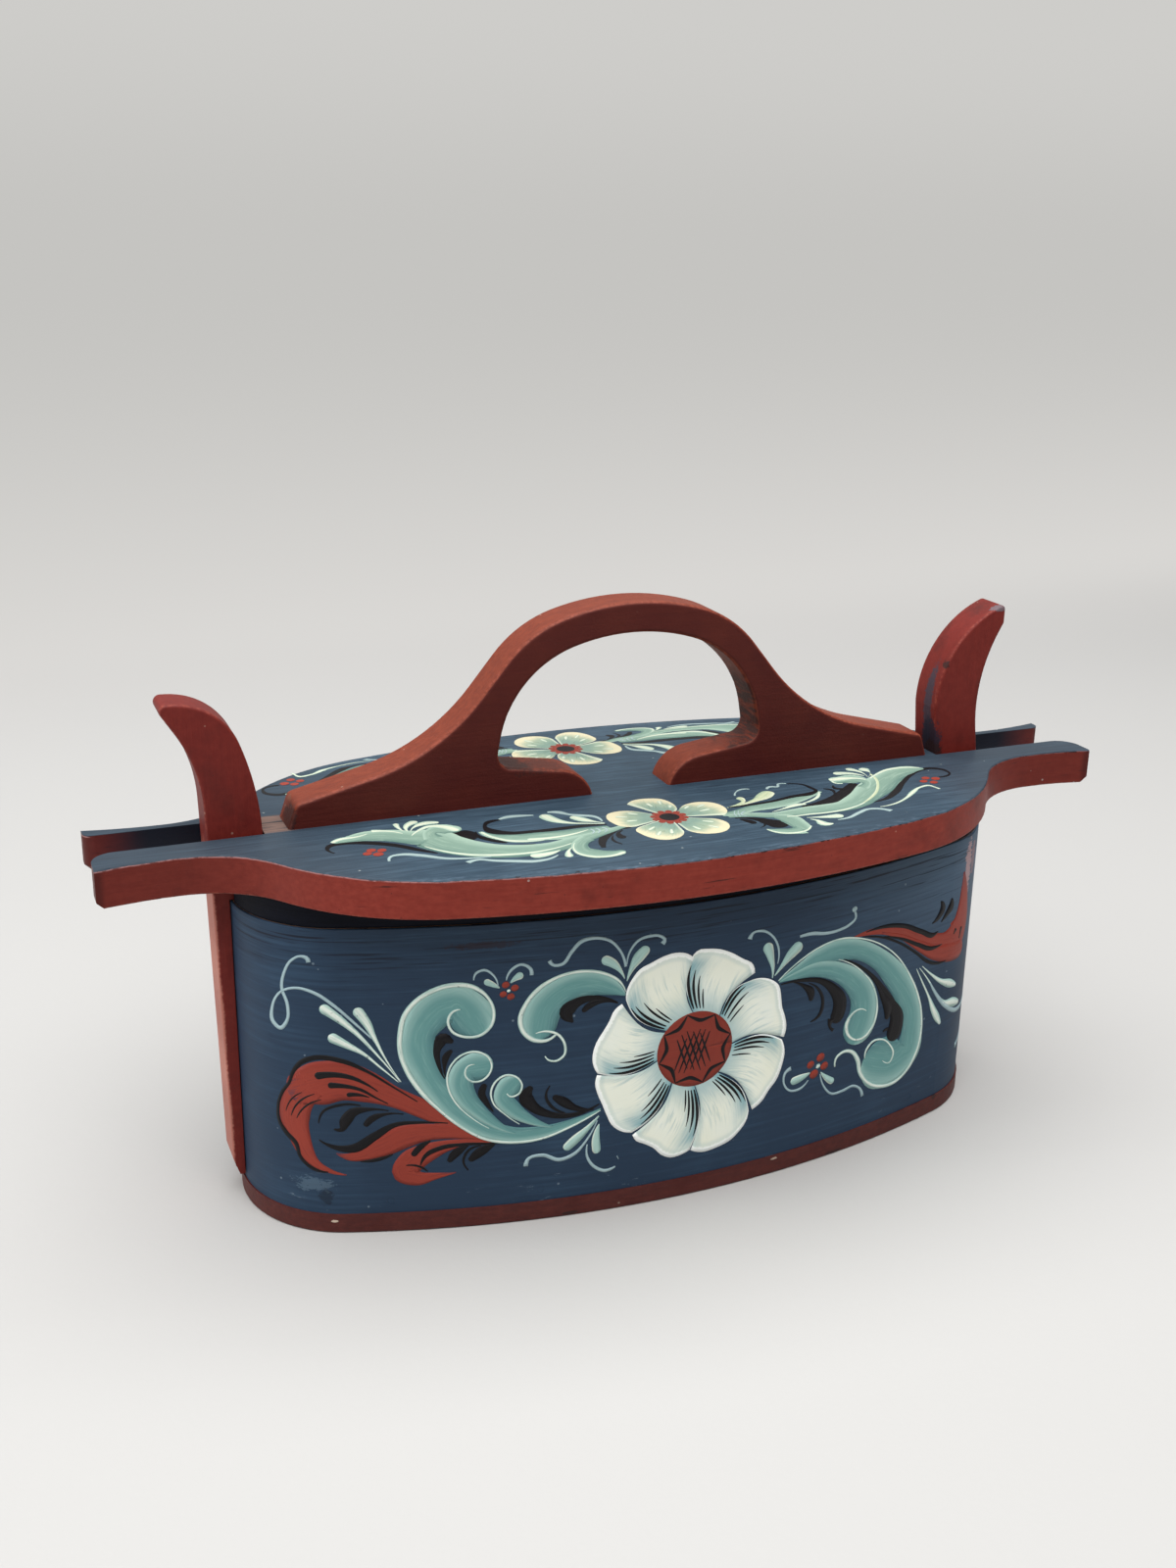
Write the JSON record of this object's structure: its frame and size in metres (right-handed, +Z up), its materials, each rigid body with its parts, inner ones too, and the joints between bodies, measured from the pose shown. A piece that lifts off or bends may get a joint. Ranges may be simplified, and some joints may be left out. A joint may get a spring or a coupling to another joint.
{
  "type": "bentwood lidded box",
  "caption": "Oval bentwood box with a forked lid held by two springy end posts, an arched handle and flower painting on blue.",
  "frame": {"origin": "centre of the underside, on the surface that the box stands on", "axes": "+X along the box towards the right end post, +Y towards the seam side at the back, +Z up"},
  "size_m": [0.36, 0.1406, 0.1955],
  "materials": {
    "base_board": "oxide red paint, brushed, worn",
    "side_band": "slate blue paint with rosemaling, brushed, worn",
    "seam_lacing": "split root, dull",
    "base_pegs": "whittled pegs, painted over",
    "post_pegs_left": "whittled pegs, painted over",
    "post_pegs_right": "whittled pegs, painted over",
    "post_left": "oxide red paint, brushed, worn",
    "post_right": "oxide red paint, brushed, worn",
    "lid_board": "slate blue top with rosemaling, red edge",
    "lid_plate": "dark navy paint",
    "handle": "oxide red paint, brushed, worn",
    "handle_screws": "dull darkened iron",
    "lid_brads": "dull darkened iron"
  },
  "bodies": {
    "box": {"base_board": "base_board", "side_band": "side_band", "seam_lacing": "seam_lacing", "base_pegs": "base_pegs", "post_pegs_left": "post_pegs_left", "post_pegs_right": "post_pegs_right"},
    "post_left": {"post_left": "post_left"},
    "post_right": {"post_right": "post_right"},
    "lid": {"lid_board": "lid_board", "lid_plate": "lid_plate", "handle": "handle", "handle_screws": "handle_screws", "lid_brads": "lid_brads"}
  },
  "joints": [
    {"name": "lid_lift", "type": "slide", "parent": "box", "child": "lid", "axis": [0, 0, 1], "range_m": [0, 0.085]},
    {"name": "post_left_spring", "type": "hinge", "parent": "box", "child": "post_left", "pos_m": [-0.13805, 0.004, 0.0115], "axis": [0, -1, 0], "range_deg": [0, 4.2], "stiffness_Nm_per_rad": 3},
    {"name": "post_right_spring", "type": "hinge", "parent": "box", "child": "post_right", "pos_m": [0.13805, 0.004, 0.0115], "axis": [0, 1, 0], "range_deg": [0, 4.2], "stiffness_Nm_per_rad": 3}
  ],
  "couplings": [
    {"joint": "post_left_spring", "follows": "lid_lift", "rad_per_m": 0.8213},
    {"joint": "post_right_spring", "follows": "lid_lift", "rad_per_m": 0.8213}
  ]
}
